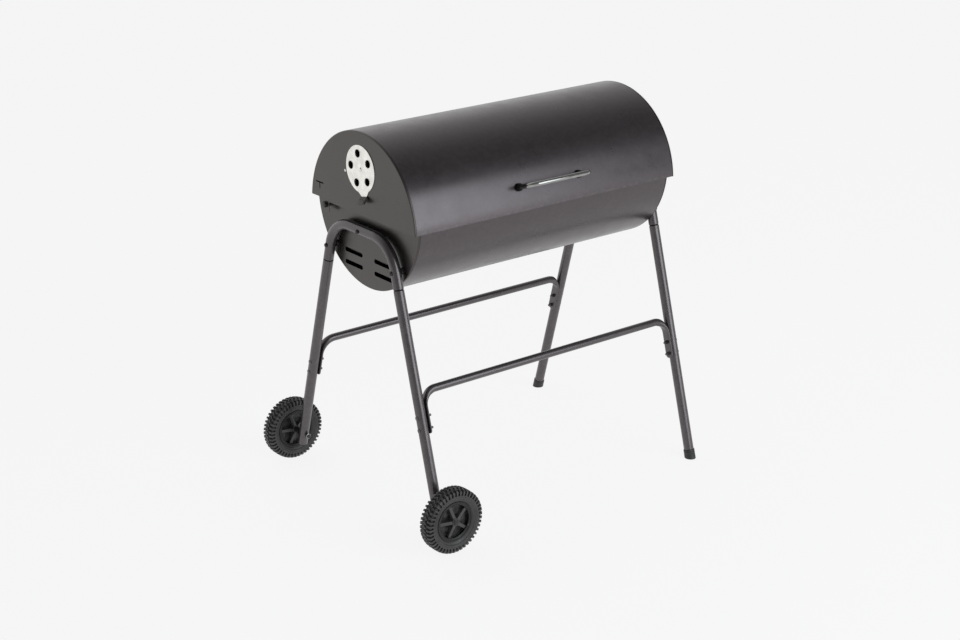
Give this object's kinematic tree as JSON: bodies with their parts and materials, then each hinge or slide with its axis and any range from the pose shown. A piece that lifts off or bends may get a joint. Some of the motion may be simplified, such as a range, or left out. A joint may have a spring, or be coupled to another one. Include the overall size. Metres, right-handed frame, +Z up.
{
  "type": "barrel charcoal grill",
  "caption": "Half-drum charcoal grill on two arch legs, with a hinged lid, turning vent damper, lift-out grates, wheels at one end and feet at the other.",
  "frame": {"origin": "on the floor, under the centre of the grill's bounding box", "axes": "+X along the barrel from the wheels to the feet, -Y towards the cook and the lid handle, +Z up"},
  "size_m": [0.8992, 0.722, 0.938],
  "materials": {
    "barrel_enamel": "satin black heat-proof enamel on sheet steel",
    "leg_enamel": "satin dark grey powder coat on steel tube",
    "chrome": "polished plated rod",
    "bright_plate": "bright plated sheet, lightly dimpled",
    "black_steel": "black oxide fasteners",
    "zinc": "zinc plated fasteners",
    "black_plastic": "moulded black plastic",
    "tyre_plastic": "moulded black tyre with a chevron tread",
    "hub_plastic": "moulded black hub, fine texture",
    "grate_wire": "plated steel wire",
    "coal_wire": "blackened steel wire"
  },
  "bodies": {
    "frame": {"bowl_shell": "barrel_enamel", "bowl_end_left": "barrel_enamel", "bowl_end_right": "barrel_enamel", "grate_ledge_front": "barrel_enamel", "grate_ledge_rear": "barrel_enamel", "hinge_bolts": "black_steel", "hinge_spacers": "zinc", "hinge_nuts": "zinc", "arch_bolts": "black_steel", "arch_spacers": "black_plastic", "arch_nuts": "zinc", "stretcher_bolts": "black_steel", "stretcher_nuts": "black_steel", "leg_plugs": "black_plastic", "foot_cap_front": "black_plastic", "foot_cap_rear": "black_plastic", "leg_arch_left": "leg_enamel", "leg_arch_right": "leg_enamel", "leg_lower_front_left": "leg_enamel", "leg_lower_rear_left": "leg_enamel", "leg_lower_front_right": "leg_enamel", "leg_lower_rear_right": "leg_enamel", "stretcher_front": "leg_enamel", "stretcher_rear": "leg_enamel", "axle_bolt_front": "black_steel", "axle_bolt_rear": "black_steel", "axle_bush_front": "black_plastic", "axle_bush_rear": "black_plastic", "axle_nuts": "zinc"},
    "lid": {"lid_shell": "barrel_enamel", "lid_end_left": "barrel_enamel", "lid_end_right": "barrel_enamel", "lid_handle": "chrome", "handle_collars": "black_plastic", "handle_screws": "zinc", "vent_rivet": "bright_plate", "vent_stop_screw": "bright_plate"},
    "damper": {"vent_damper": "bright_plate", "vent_grip": "black_plastic"},
    "wheel_front": {"tyre_front": "tyre_plastic", "wheel_hub_front": "hub_plastic"},
    "wheel_rear": {"tyre_rear": "tyre_plastic", "wheel_hub_rear": "hub_plastic"},
    "cooking_left": {"cooking_grate_left": "grate_wire"},
    "cooking_right": {"cooking_grate_right": "grate_wire"},
    "coals_left": {"charcoal_grate_left": "coal_wire"},
    "coals_right": {"charcoal_grate_right": "coal_wire"}
  },
  "joints": [
    {"name": "lid_hinge", "type": "hinge", "parent": "frame", "child": "lid", "pos_m": [0, 0.153, 0.728], "axis": [-1, 0, 0], "range_deg": [0, 64]},
    {"name": "vent_damper_turn", "type": "hinge", "parent": "lid", "child": "damper", "pos_m": [-0.3695, 0, 0.849], "axis": [1, 0, 0], "range_deg": [0, 66]},
    {"name": "wheel_front_spin", "type": "hinge", "parent": "frame", "child": "wheel_front", "pos_m": [-0.3696, -0.34, 0.08], "axis": [0, 1, 0], "continuous": true},
    {"name": "wheel_rear_spin", "type": "hinge", "parent": "frame", "child": "wheel_rear", "pos_m": [-0.3696, 0.34, 0.08], "axis": [0, 1, 0], "continuous": true},
    {"name": "cooking_grate_left_lift", "type": "slide", "parent": "frame", "child": "cooking_left", "axis": [0, 0, 1], "range_m": [0, 0.045]},
    {"name": "cooking_grate_right_lift", "type": "slide", "parent": "frame", "child": "cooking_right", "axis": [0, 0, 1], "range_m": [0, 0.045]},
    {"name": "charcoal_grate_left_lift", "type": "slide", "parent": "frame", "child": "coals_left", "axis": [0, 0, 1], "range_m": [0, 0.08]},
    {"name": "charcoal_grate_right_lift", "type": "slide", "parent": "frame", "child": "coals_right", "axis": [0, 0, 1], "range_m": [0, 0.08]}
  ]
}
